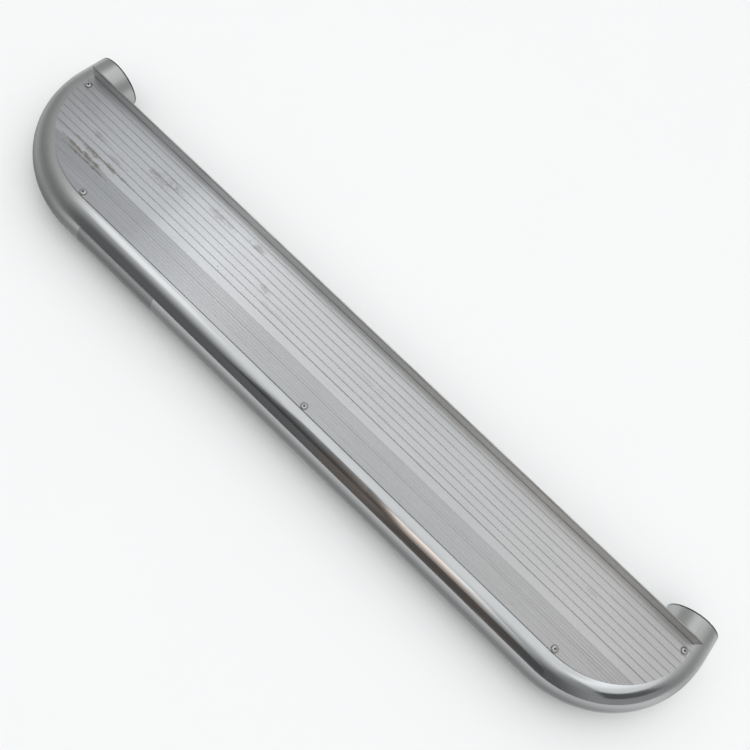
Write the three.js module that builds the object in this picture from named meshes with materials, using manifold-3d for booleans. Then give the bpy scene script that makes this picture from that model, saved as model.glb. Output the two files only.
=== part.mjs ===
// Tube-framed running board for a pickup or van: a bent stainless tube, a ribbed aluminium
// tread plate riveted on top of it, a rear angle between the tube's ends, and three cross
// channels that carry the tread and the vehicle-side mounting brackets.
//
// Millimetres, +Z up. X runs along the board, -Y is the outer side and +Y faces the vehicle.
// The pieces are drawn about the front tube's axis, and the whole group is then moved so that
// the origin is at the middle of the board's footprint, on the surface it rests on.

import * as THREE from 'three';
import { mergeVertices } from 'three/addons/utils/BufferGeometryUtils.js';
import Module from 'manifold-3d';

const wasm = await Module();
wasm.setup();

// ---- Driving dimensions ---------------------------------------------------------------

const GAP = 0.3; // clearance between pieces that touch
const OVERSHOOT = 5; // how far a cutting solid reaches past what it cuts

// Bent outer tube: 3 inch stainless, one long run and two quarter bends.
const TUBE_RADIUS = 38.1;
const TUBE_WALL = 2;
const TUBE_SIDES = 36;
const BEND_RADIUS = 150;
const BEND_STEPS = 12;
const STUB_AXIS_X = 596; // half distance between the axes of the two short ends
const STUB_END_Y = 188;

// Tread plate: extruded aluminium, wide ribs at the back and fine ribs at the front.
const PLATE_FRONT_Y = -0.8;
const PLATE_BACK_Y = 147;
const PLATE_HALF_LENGTH = 596;
const PLATE_CORNER_Y = 144; // centre of the rounded corners
const PLATE_BASE = 1.7; // thickness under the grooves
const RIB_HEIGHT = 0.9;
const GROOVE_WIDTH = 1.6;
const GROOVE_FLOOR = 0.8;
const WIDE_RIB_PITCH = 11.02;
const WIDE_GROOVES = 8;
const BACK_LAND = 11.3;
const FINE_RIB_PITCH = 4.38;
const FINE_GROOVES = 9;
const FRONT_LAND = 9.8;
const PLATE_ARC_STEPS = 12;

// Rear angle: 25 x 25 x 2, its upright leg stands behind the plate.
const ANGLE_LEG = 25;
const ANGLE_THICKNESS = 2;
const ANGLE_HALF_LENGTH = 594;
const ANGLE_COPE_X = 574; // beyond this the angle is cut away over the tube
const ANGLE_TOP_RADIUS = 0.7;

// Blind rivets, 4.8 mm, with their mandrels left in the bore.
const RIVET_HEAD_RADIUS = 4.75;
const RIVET_HEAD_HEIGHT = 1.6;
const RIVET_SHANK_RADIUS = 2.4;
const RIVET_BULB_RADIUS = 3.5;
const RIVET_BULB_LENGTH = 4.2;
const RIVET_BORE_RADIUS = 1.45;
const MANDREL_RADIUS = 1.15;
const MANDREL_HEAD_RADIUS = 2.2;
const MANDREL_HEAD_HEIGHT = 2;
const MANDREL_RECESS = 0.7;
const RIVET_HOLE_RADIUS = RIVET_SHANK_RADIUS + GAP;
const RIVET_SIDES = 16;
const FRONT_RIVET_Y = 4.4;
const REAR_RIVET_X = 587;
const REAR_RIVET_Y = 130.5;
const RIVETS = [
  { place: 'front_left', x: -449, y: FRONT_RIVET_Y },
  { place: 'front_middle', x: -13, y: FRONT_RIVET_Y },
  { place: 'front_right', x: 445, y: FRONT_RIVET_Y },
  { place: 'rear_left', x: -REAR_RIVET_X, y: REAR_RIVET_Y },
  { place: 'rear_right', x: REAR_RIVET_X, y: REAR_RIVET_Y },
];

// Plastic end caps pushed into the tube's open ends.
const CAP_FLANGE = 2.5;
const CAP_FLANGE_RADIUS = 37.9;
const CAP_EDGE = 1.2;
const CAP_SKIRT_RADIUS = 35.6;
const CAP_WALL = 2;
const CAP_DEPTH = 15;

// Cross channels: U section, open upwards, coped over the tube and under the angle.
const CHANNEL_WIDTH = 40;
const CHANNEL_HEIGHT = 25;
const CHANNEL_WALL = 3;
const CHANNEL_FRONT_Y = 20;
const STATIONS = [
  { place: 'left', x: -400 },
  { place: 'middle', x: 0 },
  { place: 'right', x: 400 },
];

// Mounting brackets: bent flat bar under each channel, with a drop leg that faces the vehicle.
const BRACKET_THICKNESS = 5;
const BRACKET_FRONT_Y = 45;
const BRACKET_FACE_Y = 170;
const BRACKET_BOTTOM_Z = -33;
const BRACKET_INNER_BEND = 3;
const BRACKET_HOLE_RADIUS = 4.5;
const BRACKET_HOLES_Z = [-8, -26];

// M8 fasteners between each bracket and its channel.
const BOLT_RADIUS = 4;
const BOLT_HOLE_RADIUS = BOLT_RADIUS + GAP;
const BOLT_HEAD_ACROSS_FLATS = 13;
const BOLT_HEAD_HEIGHT = 5.3;
const BOLT_TIP_Z = 25;
const WASHER_RADIUS = 8;
const WASHER_THICKNESS = 1.6;
const NUT_HEIGHT = 6.5;
const BOLTS = [
  { place: 'front', y: 70 },
  { place: 'rear', y: 130 },
];

// ---- Levels worked out from them ------------------------------------------------------

const PLATE_UNDER_Z = TUBE_RADIUS + GAP;
const PLATE_TOP_Z = PLATE_UNDER_Z + PLATE_BASE + RIB_HEIGHT;
const BEND_CENTRE_X = STUB_AXIS_X - BEND_RADIUS;
const ANGLE_FACE_Y = PLATE_BACK_Y + GAP;
const ANGLE_BACK_Y = ANGLE_FACE_Y + ANGLE_THICKNESS;
const ANGLE_UNDER_Z = TUBE_RADIUS - ANGLE_THICKNESS;
const CHANNEL_TOP_Z = TUBE_RADIUS;
const CHANNEL_UNDER_Z = CHANNEL_TOP_Z - CHANNEL_HEIGHT;
const CHANNEL_FLOOR_Z = CHANNEL_UNDER_Z + CHANNEL_WALL;
const BRACKET_TOP_Z = CHANNEL_UNDER_Z - GAP;
const BRACKET_UNDER_Z = BRACKET_TOP_Z - BRACKET_THICKNESS;
const WASHER_TOP_Z = BRACKET_UNDER_Z - GAP;
const BOLT_HEAD_TOP_Z = WASHER_TOP_Z - WASHER_THICKNESS - GAP;
const BOARD_DEPTH = TUBE_RADIUS + STUB_END_Y + GAP + CAP_FLANGE;

// ---- Materials ------------------------------------------------------------------------

function metal(color, roughness, metalness = 1) {
  return new THREE.MeshStandardMaterial({ color, roughness, metalness });
}

const polishedStainless = metal(0xc9cbcc, 0.12);
const millAluminium = metal(0xc6c7c8, 0.42);
const satinStainless = metal(0x9b9a97, 0.38);
const rivetAluminium = metal(0xb4b4b2, 0.35);
const rivetSteel = metal(0x6a6a6a, 0.45);
const zincSteel = metal(0xb9bcc0, 0.35);
const blackCoat = metal(0x1b1c1d, 0.5, 0.2);
const blackPlastic = metal(0x161616, 0.6, 0);

// ---- Helpers --------------------------------------------------------------------------

// A closed three.js geometry becomes a solid that can be cut or joined.
function toSolid(geometry) {
  const bare = geometry.clone();
  bare.deleteAttribute('normal');
  bare.deleteAttribute('uv');
  const merged = mergeVertices(bare);
  return new wasm.Manifold(new wasm.Mesh({
    numProp: 3,
    vertProperties: Float32Array.from(merged.attributes.position.array),
    triVerts: Uint32Array.from(merged.index.array),
  }));
}

function toGeometry(solid) {
  const { vertProperties, triVerts } = solid.getMesh();
  const geometry = new THREE.BufferGeometry();
  geometry.setAttribute('position', new THREE.BufferAttribute(vertProperties, 3));
  geometry.setIndex(new THREE.BufferAttribute(triVerts, 1));
  geometry.computeVertexNormals();
  return geometry;
}

// A box between two corners.
function box(low, high) {
  const size = high.map((value, i) => value - low[i]);
  const middle = high.map((value, i) => (value + low[i]) / 2);
  return new THREE.BoxGeometry(...size).translate(...middle);
}

// An upright cylinder between two heights.
function post(x, y, lowZ, highZ, radius, sides = 24) {
  const height = highZ - lowZ;
  return new THREE.CylinderGeometry(radius, radius, height, sides)
    .rotateX(Math.PI / 2)
    .translate(x, y, lowZ + height / 2);
}

function outline(points) {
  return new THREE.Shape(points.map(([a, b]) => new THREE.Vector2(a, b)));
}

// A section drawn in (y, z), extruded along X between two ends.
function extrudeAlongX(shape, fromX, toX, curveSegments = 6) {
  const geometry = new THREE.ExtrudeGeometry(shape, {
    depth: toX - fromX, bevelEnabled: false, curveSegments,
  });
  const turn = new THREE.Matrix4().makeBasis(
    new THREE.Vector3(0, 1, 0), new THREE.Vector3(0, 0, 1), new THREE.Vector3(1, 0, 0),
  );
  return geometry.applyMatrix4(turn).translate(fromX, 0, 0);
}

// A profile of (radius, height) points turned about Z.
function turned(points, sides) {
  return new THREE.LatheGeometry(points.map(([r, z]) => new THREE.Vector2(r, z)), sides)
    .rotateX(Math.PI / 2);
}

const board = new THREE.Group();
board.position.set(0, TUBE_RADIUS - BOARD_DEPTH / 2, TUBE_RADIUS);

function add(name, geometry, material) {
  const mesh = new THREE.Mesh(geometry, material);
  mesh.name = name;
  board.add(mesh);
  return mesh;
}

// ---- Outer tube -----------------------------------------------------------------------

// Cross-sections along the tube's centre line: its place and the direction that it heads in.
function tubeStations() {
  const stations = [{ x: -STUB_AXIS_X, y: STUB_END_Y, heading: -Math.PI / 2 }];
  for (let i = 0; i <= BEND_STEPS; i += 1) {
    const turn = (Math.PI / 2) * (i / BEND_STEPS);
    stations.push({
      x: -BEND_CENTRE_X - BEND_RADIUS * Math.cos(turn),
      y: BEND_RADIUS - BEND_RADIUS * Math.sin(turn),
      heading: turn - Math.PI / 2,
    });
  }
  const mirrored = stations.map(({ x, y, heading }) => ({ x: -x, y, heading: -heading }));
  return stations.concat(mirrored.reverse());
}

// A straight length of pipe, one step to each station, is laid along the centre line.
function makeTube() {
  const stations = tubeStations();
  const steps = stations.length - 1;
  const ring = new THREE.Shape().absarc(0, 0, TUBE_RADIUS, 0, 2 * Math.PI);
  ring.holes.push(new THREE.Path().absarc(0, 0, TUBE_RADIUS - TUBE_WALL, 0, 2 * Math.PI));
  const pipe = new THREE.ExtrudeGeometry(ring, {
    depth: steps, steps, bevelEnabled: false, curveSegments: TUBE_SIDES / 2,
  });
  const position = pipe.attributes.position;
  for (let i = 0; i < position.count; i += 1) {
    const { x, y, heading } = stations[Math.round(position.getZ(i))];
    const side = position.getX(i); // to the right of the heading
    position.setXYZ(
      i,
      x + side * Math.sin(heading),
      y - side * Math.cos(heading),
      position.getY(i),
    );
  }
  // The pipe's own axes give a mirror image of the laid frame, so the faces are turned round.
  const solid = toSolid(flipped(pipe));
  const holes = RIVETS.map(({ x, y }) => toSolid(
    post(x, y, TUBE_RADIUS / 2, TUBE_RADIUS + OVERSHOOT, RIVET_HOLE_RADIUS),
  ));
  return toGeometry(holes.reduce((tube, hole) => tube.subtract(hole), solid));
}

function flipped(geometry) {
  const position = geometry.attributes.position;
  const swap = new THREE.Vector3();
  const other = new THREE.Vector3();
  for (let i = 0; i < position.count; i += 3) {
    swap.fromBufferAttribute(position, i + 1);
    other.fromBufferAttribute(position, i + 2);
    position.setXYZ(i + 1, other.x, other.y, other.z);
    position.setXYZ(i + 2, swap.x, swap.y, swap.z);
  }
  return geometry;
}

add('outer_tube', makeTube(), polishedStainless);

// ---- Tread plate ----------------------------------------------------------------------

function grooveCentres() {
  const centres = [];
  for (let i = 0; i < WIDE_GROOVES; i += 1) {
    centres.push(PLATE_BACK_Y - BACK_LAND - i * WIDE_RIB_PITCH);
  }
  for (let i = FINE_GROOVES - 1; i >= 0; i -= 1) {
    centres.push(PLATE_FRONT_Y + FRONT_LAND + i * FINE_RIB_PITCH);
  }
  return centres;
}

function plateSection() {
  const grooveZ = PLATE_UNDER_Z + PLATE_BASE;
  const points = [
    [PLATE_FRONT_Y - OVERSHOOT, PLATE_UNDER_Z],
    [PLATE_BACK_Y, PLATE_UNDER_Z],
    [PLATE_BACK_Y, PLATE_TOP_Z],
  ];
  for (const y of grooveCentres()) {
    points.push(
      [y + GROOVE_WIDTH / 2, PLATE_TOP_Z],
      [y + GROOVE_FLOOR / 2, grooveZ],
      [y - GROOVE_FLOOR / 2, grooveZ],
      [y - GROOVE_WIDTH / 2, PLATE_TOP_Z],
    );
  }
  points.push([PLATE_FRONT_Y - OVERSHOOT, PLATE_TOP_Z]);
  return outline(points);
}

// Plan of the plate: straight front and back, and corners that follow the tube's bends.
function platePlan() {
  const cornerX = PLATE_HALF_LENGTH - BEND_CENTRE_X;
  const cornerY = PLATE_CORNER_Y - PLATE_FRONT_Y;
  const plan = new THREE.Shape();
  plan.moveTo(PLATE_HALF_LENGTH, PLATE_BACK_Y + OVERSHOOT);
  plan.lineTo(-PLATE_HALF_LENGTH, PLATE_BACK_Y + OVERSHOOT);
  plan.absellipse(-BEND_CENTRE_X, PLATE_CORNER_Y, cornerX, cornerY, Math.PI, 1.5 * Math.PI);
  plan.absellipse(BEND_CENTRE_X, PLATE_CORNER_Y, cornerX, cornerY, 1.5 * Math.PI, 2 * Math.PI);
  return plan;
}

function makePlate() {
  const ribbed = extrudeAlongX(
    plateSection(), -PLATE_HALF_LENGTH - OVERSHOOT, PLATE_HALF_LENGTH + OVERSHOOT,
  );
  const plan = new THREE.ExtrudeGeometry(platePlan(), {
    depth: 4 * OVERSHOOT, bevelEnabled: false, curveSegments: PLATE_ARC_STEPS / 2,
  }).translate(0, 0, PLATE_UNDER_Z - OVERSHOOT);
  const holes = RIVETS.map(({ x, y }) => toSolid(
    post(x, y, PLATE_UNDER_Z - OVERSHOOT, PLATE_TOP_Z + OVERSHOOT, RIVET_HOLE_RADIUS),
  ));
  const blank = toSolid(ribbed).intersect(toSolid(plan));
  return toGeometry(holes.reduce((plate, hole) => plate.subtract(hole), blank));
}

add('tread_plate', makePlate(), millAluminium);

// ---- Rear angle -----------------------------------------------------------------------

function angleSection() {
  const topZ = ANGLE_UNDER_Z + ANGLE_LEG;
  const roundZ = topZ - ANGLE_TOP_RADIUS;
  const quarter = Math.PI / 2;
  const shape = new THREE.Shape();
  shape.moveTo(ANGLE_BACK_Y - ANGLE_LEG, ANGLE_UNDER_Z);
  shape.lineTo(ANGLE_BACK_Y, ANGLE_UNDER_Z);
  shape.lineTo(ANGLE_BACK_Y, roundZ);
  shape.absarc(ANGLE_BACK_Y - ANGLE_TOP_RADIUS, roundZ, ANGLE_TOP_RADIUS, 0, quarter);
  shape.absarc(ANGLE_FACE_Y + ANGLE_TOP_RADIUS, roundZ, ANGLE_TOP_RADIUS, quarter, 2 * quarter);
  shape.lineTo(ANGLE_FACE_Y, TUBE_RADIUS);
  shape.lineTo(ANGLE_BACK_Y - ANGLE_LEG, TUBE_RADIUS);
  return shape;
}

function makeAngle() {
  const bar = toSolid(extrudeAlongX(angleSection(), -ANGLE_HALF_LENGTH, ANGLE_HALF_LENGTH, 3));
  const copes = [-1, 1].map((side) => {
    const ends = [side * ANGLE_COPE_X, side * (ANGLE_HALF_LENGTH + OVERSHOOT)];
    return toSolid(box(
      [Math.min(...ends), ANGLE_BACK_Y - ANGLE_LEG - OVERSHOOT, ANGLE_UNDER_Z - OVERSHOOT],
      [Math.max(...ends), ANGLE_BACK_Y + OVERSHOOT, TUBE_RADIUS + GAP],
    ));
  });
  return toGeometry(copes.reduce((angle, cope) => angle.subtract(cope), bar));
}

add('rear_angle', makeAngle(), satinStainless);

// ---- Rivets ---------------------------------------------------------------------------

// Heights are from the underside of the head, which sits on top of a rib.
const RIVET_SEAT_Z = PLATE_TOP_Z + GAP;
const REAR_RIVET_TURN = Math.hypot(REAR_RIVET_X - BEND_CENTRE_X, BEND_RADIUS - REAR_RIVET_Y);
const CROWN_OFFSETS = [FRONT_RIVET_Y, BEND_RADIUS - REAR_RIVET_TURN]; // of the rivets, off the tube's crown
const BULB_REACH = Math.max(...CROWN_OFFSETS) + RIVET_BULB_RADIUS; // furthest that a bulb lies off it
const TUBE_BORE = TUBE_RADIUS - TUBE_WALL;
const BULB_TOP = Math.sqrt(TUBE_BORE ** 2 - BULB_REACH ** 2) - GAP - RIVET_SEAT_Z;
const BULB_BOTTOM = BULB_TOP - RIVET_BULB_LENGTH;

const RIVET_PROFILE = [
  [RIVET_BORE_RADIUS, RIVET_HEAD_HEIGHT - 0.3],
  [RIVET_BORE_RADIUS + 0.3, RIVET_HEAD_HEIGHT],
  [0.55 * RIVET_HEAD_RADIUS, RIVET_HEAD_HEIGHT],
  [0.82 * RIVET_HEAD_RADIUS, 0.7 * RIVET_HEAD_HEIGHT],
  [RIVET_HEAD_RADIUS, 0.2 * RIVET_HEAD_HEIGHT],
  [RIVET_HEAD_RADIUS, 0],
  [RIVET_SHANK_RADIUS, 0],
  [RIVET_SHANK_RADIUS, BULB_TOP],
  [RIVET_BULB_RADIUS, BULB_TOP],
  [RIVET_BULB_RADIUS, BULB_BOTTOM + 1],
  [RIVET_SHANK_RADIUS, BULB_BOTTOM],
  [RIVET_BORE_RADIUS, BULB_BOTTOM],
  [RIVET_BORE_RADIUS, RIVET_HEAD_HEIGHT - 0.3],
].reverse();

const MANDREL_PROFILE = [
  [0, RIVET_HEAD_HEIGHT - MANDREL_RECESS],
  [MANDREL_RADIUS, RIVET_HEAD_HEIGHT - MANDREL_RECESS],
  [MANDREL_RADIUS, BULB_BOTTOM - GAP],
  [MANDREL_HEAD_RADIUS, BULB_BOTTOM - GAP],
  [MANDREL_HEAD_RADIUS, BULB_BOTTOM - GAP - 0.6 * MANDREL_HEAD_HEIGHT],
  [0.6 * MANDREL_HEAD_RADIUS, BULB_BOTTOM - GAP - MANDREL_HEAD_HEIGHT],
  [0, BULB_BOTTOM - GAP - MANDREL_HEAD_HEIGHT],
].reverse();

for (const { place, x, y } of RIVETS) {
  const rivet = add(`rivet_${place}`, turned(RIVET_PROFILE, RIVET_SIDES), rivetAluminium);
  const mandrel = add(`mandrel_${place}`, turned(MANDREL_PROFILE, RIVET_SIDES), rivetSteel);
  rivet.position.set(x, y, RIVET_SEAT_Z);
  mandrel.position.set(x, y, RIVET_SEAT_Z);
}

// ---- End caps -------------------------------------------------------------------------

// Heights are from the inner face of the flange, outwards.
const CAP_PROFILE = [
  [0, CAP_FLANGE],
  [CAP_FLANGE_RADIUS - CAP_EDGE, CAP_FLANGE],
  [CAP_FLANGE_RADIUS, CAP_FLANGE - CAP_EDGE],
  [CAP_FLANGE_RADIUS, 0],
  [CAP_SKIRT_RADIUS, 0],
  [CAP_SKIRT_RADIUS, -CAP_DEPTH],
  [CAP_SKIRT_RADIUS - CAP_WALL, -CAP_DEPTH],
  [CAP_SKIRT_RADIUS - CAP_WALL, 0],
  [0, 0],
].reverse();

for (const [place, side] of [['left', -1], ['right', 1]]) {
  const cap = add(`end_cap_${place}`, turned(CAP_PROFILE, TUBE_SIDES), blackPlastic);
  cap.rotation.x = -Math.PI / 2;
  cap.position.set(side * STUB_AXIS_X, STUB_END_Y + GAP, 0);
}

// ---- Cross channels -------------------------------------------------------------------

function makeChannel() {
  const half = CHANNEL_WIDTH / 2;
  const inner = half - CHANNEL_WALL;
  const backY = ANGLE_BACK_Y - GAP;
  const legFrontY = ANGLE_BACK_Y - ANGLE_LEG;
  const body = toSolid(box([-half, CHANNEL_FRONT_Y, CHANNEL_UNDER_Z], [half, backY, CHANNEL_TOP_Z]));
  const hollow = toSolid(box(
    [-inner, CHANNEL_FRONT_Y - OVERSHOOT, CHANNEL_FLOOR_Z],
    [inner, backY + OVERSHOOT, CHANNEL_TOP_Z + OVERSHOOT],
  ));
  const angleNotch = toSolid(box(
    [-half - OVERSHOOT, legFrontY - GAP, ANGLE_UNDER_Z - GAP],
    [half + OVERSHOOT, backY + OVERSHOOT, CHANNEL_TOP_Z + OVERSHOOT],
  ));
  const cutterLength = CHANNEL_WIDTH + 2 * OVERSHOOT;
  const tubeCope = toSolid(
    new THREE.CylinderGeometry(TUBE_RADIUS + GAP, TUBE_RADIUS + GAP, cutterLength, 2 * TUBE_SIDES)
      .rotateZ(Math.PI / 2),
  );
  const holes = BOLTS.map(({ y }) => toSolid(
    post(0, y, CHANNEL_UNDER_Z - OVERSHOOT, CHANNEL_FLOOR_Z + OVERSHOOT, BOLT_HOLE_RADIUS),
  ));
  const cuts = [hollow, angleNotch, tubeCope, ...holes];
  return toGeometry(cuts.reduce((left, cut) => left.subtract(cut), body));
}

// ---- Mounting brackets ----------------------------------------------------------------

function bracketSection() {
  const outerBend = BRACKET_INNER_BEND + BRACKET_THICKNESS;
  const bendY = BRACKET_FACE_Y - outerBend;
  const bendZ = BRACKET_TOP_Z - outerBend;
  const shape = new THREE.Shape();
  shape.moveTo(BRACKET_FRONT_Y, BRACKET_UNDER_Z);
  shape.lineTo(bendY, BRACKET_UNDER_Z);
  shape.absarc(bendY, bendZ, BRACKET_INNER_BEND, Math.PI / 2, 0, true);
  shape.lineTo(BRACKET_FACE_Y - BRACKET_THICKNESS, BRACKET_BOTTOM_Z);
  shape.lineTo(BRACKET_FACE_Y, BRACKET_BOTTOM_Z);
  shape.lineTo(BRACKET_FACE_Y, bendZ);
  shape.absarc(bendY, bendZ, outerBend, 0, Math.PI / 2);
  shape.lineTo(BRACKET_FRONT_Y, BRACKET_TOP_Z);
  return shape;
}

function makeBracket() {
  const half = CHANNEL_WIDTH / 2;
  const bar = toSolid(extrudeAlongX(bracketSection(), -half, half, 8));
  const boltHoles = BOLTS.map(({ y }) => post(
    0, y, BRACKET_UNDER_Z - OVERSHOOT, BRACKET_TOP_Z + OVERSHOOT, BOLT_HOLE_RADIUS,
  ));
  const mountHoles = BRACKET_HOLES_Z.map((z) => new THREE.CylinderGeometry(
    BRACKET_HOLE_RADIUS, BRACKET_HOLE_RADIUS, BRACKET_THICKNESS + 2 * OVERSHOOT, 24,
  ).translate(0, BRACKET_FACE_Y - BRACKET_THICKNESS / 2, z));
  const holes = [...boltHoles, ...mountHoles].map(toSolid);
  return toGeometry(holes.reduce((left, hole) => left.subtract(hole), bar));
}

// ---- Bolts, washers and nuts ----------------------------------------------------------

const HEX_CORNER_RADIUS = BOLT_HEAD_ACROSS_FLATS / Math.sqrt(3);

function hexagon() {
  const corners = [];
  for (let i = 0; i < 6; i += 1) {
    const turn = (i * Math.PI) / 3;
    corners.push([HEX_CORNER_RADIUS * Math.cos(turn), HEX_CORNER_RADIUS * Math.sin(turn)]);
  }
  return outline(corners);
}

// Heights are from the seat, the top of the head.
function makeBolt() {
  const head = new THREE.ExtrudeGeometry(hexagon(), { depth: BOLT_HEAD_HEIGHT, bevelEnabled: false })
    .translate(0, 0, -BOLT_HEAD_HEIGHT);
  const shank = post(0, 0, -BOLT_HEAD_HEIGHT / 2, BOLT_TIP_Z - BOLT_HEAD_TOP_Z, BOLT_RADIUS);
  return toGeometry(toSolid(head).add(toSolid(shank)));
}

function makeNut() {
  const shape = hexagon();
  shape.holes.push(new THREE.Path().absarc(0, 0, BOLT_HOLE_RADIUS, 0, 2 * Math.PI));
  return new THREE.ExtrudeGeometry(shape, { depth: NUT_HEIGHT, bevelEnabled: false, curveSegments: 12 });
}

function makeWasher() {
  return turned([
    [BOLT_HOLE_RADIUS, 0],
    [WASHER_RADIUS, 0],
    [WASHER_RADIUS, WASHER_THICKNESS],
    [BOLT_HOLE_RADIUS, WASHER_THICKNESS],
    [BOLT_HOLE_RADIUS, 0],
  ], 24);
}

for (const { place, x } of STATIONS) {
  add(`cross_channel_${place}`, makeChannel(), blackCoat).position.x = x;
  add(`mount_bracket_${place}`, makeBracket(), blackCoat).position.x = x;
  for (const bolt of BOLTS) {
    const name = `${place}_${bolt.place}`;
    add(`bolt_${name}`, makeBolt(), zincSteel).position.set(x, bolt.y, BOLT_HEAD_TOP_Z);
    add(`washer_${name}`, makeWasher(), zincSteel)
      .position.set(x, bolt.y, WASHER_TOP_Z - WASHER_THICKNESS);
    add(`nut_${name}`, makeNut(), zincSteel).position.set(x, bolt.y, CHANNEL_FLOOR_Z + GAP);
  }
}

export default board;
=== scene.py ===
import math
import bmesh
import bpy
from mathutils import Matrix, Vector


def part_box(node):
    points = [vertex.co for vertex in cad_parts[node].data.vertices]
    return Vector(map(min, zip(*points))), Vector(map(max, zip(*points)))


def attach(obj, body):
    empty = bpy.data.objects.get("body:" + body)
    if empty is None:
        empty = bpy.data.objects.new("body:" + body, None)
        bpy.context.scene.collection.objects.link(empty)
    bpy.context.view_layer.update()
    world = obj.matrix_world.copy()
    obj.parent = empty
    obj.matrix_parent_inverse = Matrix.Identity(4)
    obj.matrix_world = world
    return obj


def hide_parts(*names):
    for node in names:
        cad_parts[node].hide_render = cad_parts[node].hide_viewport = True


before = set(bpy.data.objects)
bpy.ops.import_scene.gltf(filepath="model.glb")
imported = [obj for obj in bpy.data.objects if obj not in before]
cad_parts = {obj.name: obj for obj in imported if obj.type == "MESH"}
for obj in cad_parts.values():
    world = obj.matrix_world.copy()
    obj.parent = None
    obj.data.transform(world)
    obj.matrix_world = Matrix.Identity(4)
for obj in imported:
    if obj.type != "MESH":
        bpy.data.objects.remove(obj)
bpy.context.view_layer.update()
print("frame loaded")

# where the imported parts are

tubeLow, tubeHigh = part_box("outer_tube")
plateLow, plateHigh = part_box("tread_plate")
angleLow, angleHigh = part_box("rear_angle")
tubeRadius = (tubeHigh.z - tubeLow.z) / 2
axisZ = tubeLow.z + tubeRadius
frontAxisY = tubeLow.y + tubeRadius
stubAxisX = tubeHigh.x - tubeRadius
rivetPlaces = ["front_left", "front_middle", "front_right", "rear_left", "rear_right"]


# modelling helpers

def clearSelection():
    if bpy.context.object and bpy.context.object.mode == "EDIT":
        bpy.ops.object.mode_set(mode="OBJECT")
    bpy.ops.object.select_all(action="DESELECT")


def startPiece(name):
    piece = bpy.context.object
    piece.name = name
    piece.data.name = name
    bpy.ops.object.transform_apply(location=True, rotation=True, scale=True)
    bpy.ops.object.mode_set(mode="EDIT")
    return piece


def pick(piece, kind, wanted):
    # kind is VERT, EDGE or FACE; wanted gets the place, and for faces the normal too
    bpy.ops.mesh.select_mode(type=kind)
    bpy.ops.mesh.select_all(action="DESELECT")
    shape = bmesh.from_edit_mesh(piece.data)
    shape.faces.ensure_lookup_table()
    count = 0
    if kind == "VERT":
        for corner in shape.verts:
            if wanted(corner.co):
                corner.select_set(True)
                count += 1
    elif kind == "EDGE":
        for edge in shape.edges:
            if wanted(edge.verts[0].co, edge.verts[1].co):
                edge.select_set(True)
                count += 1
    else:
        for face in shape.faces:
            if wanted(face.calc_center_median(), face.normal):
                face.select_set(True)
                count += 1
    shape.select_flush_mode()
    bmesh.update_edit_mesh(piece.data)
    return count


def pull(offset):
    bpy.ops.mesh.extrude_region_move(TRANSFORM_OT_translate={"value": offset})


def cut(place, normal):
    bpy.ops.mesh.select_all(action="SELECT")
    bpy.ops.mesh.bisect(plane_co=place, plane_no=normal, use_fill=False,
                        clear_inner=False, clear_outer=False, threshold=1e-6)


def recalculate():
    bpy.ops.mesh.select_all(action="SELECT")
    bpy.ops.mesh.remove_doubles(threshold=1e-5)
    bpy.ops.mesh.normals_make_consistent(inside=False)


def modify(piece, kind, **settings):
    clearSelection()
    bpy.context.view_layer.objects.active = piece
    piece.select_set(True)
    step = piece.modifiers.new(kind.title(), kind)
    for key, value in settings.items():
        setattr(step, key, value)
    bpy.ops.object.modifier_apply(modifier=step.name)


def roundEdges(piece, width, segments=3, angle=35):
    clearSelection()
    bpy.context.view_layer.objects.active = piece
    piece.select_set(True)
    bpy.ops.object.shade_smooth()
    modify(piece, "BEVEL", width=width, segments=segments, limit_method="ANGLE",
           angle_limit=math.radians(angle), use_clamp_overlap=True)
    modify(piece, "WEIGHTED_NORMAL", weight=60, keep_sharp=False)


def smoothByAngle(piece, angle=30):
    clearSelection()
    bpy.context.view_layer.objects.active = piece
    piece.select_set(True)
    bpy.ops.object.shade_smooth_by_angle(angle=math.radians(angle))


def turned(name, outline, sides, closed=False):
    # a turned part along Z: outline is radius and height, from the underside round
    clearSelection()
    radius, height = outline[0]
    bpy.ops.mesh.primitive_circle_add(vertices=sides, radius=radius, location=(0, 0, height),
                                      fill_type="NOTHING" if closed else "NGON")
    piece = startPiece(name)
    bpy.ops.mesh.select_all(action="SELECT")
    for nextRadius, nextHeight in outline[1:]:
        pull((0, 0, nextHeight - height))
        ratio = nextRadius / radius
        bpy.ops.transform.resize(value=(ratio, ratio, 1), center_override=(0, 0, nextHeight))
        radius, height = nextRadius, nextHeight
    recalculate()
    bpy.ops.object.mode_set(mode="OBJECT")
    return piece


def place(piece, move, turn=(0, 0, 0)):
    clearSelection()
    bpy.context.view_layer.objects.active = piece
    piece.select_set(True)
    piece.rotation_euler = turn
    piece.location = move
    bpy.ops.object.transform_apply(location=True, rotation=True, scale=True)


def copyOf(piece, name):
    again = piece.copy()
    again.data = piece.data.copy()
    again.name = name
    again.data.name = name
    bpy.context.scene.collection.objects.link(again)
    return again


def hand(piece, material, slot, *nodes):
    piece.data.materials.clear()
    piece.data.materials.append(material)
    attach(piece, "root")
    if nodes:
        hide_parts(*nodes)
    return piece


# shader helpers

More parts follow.
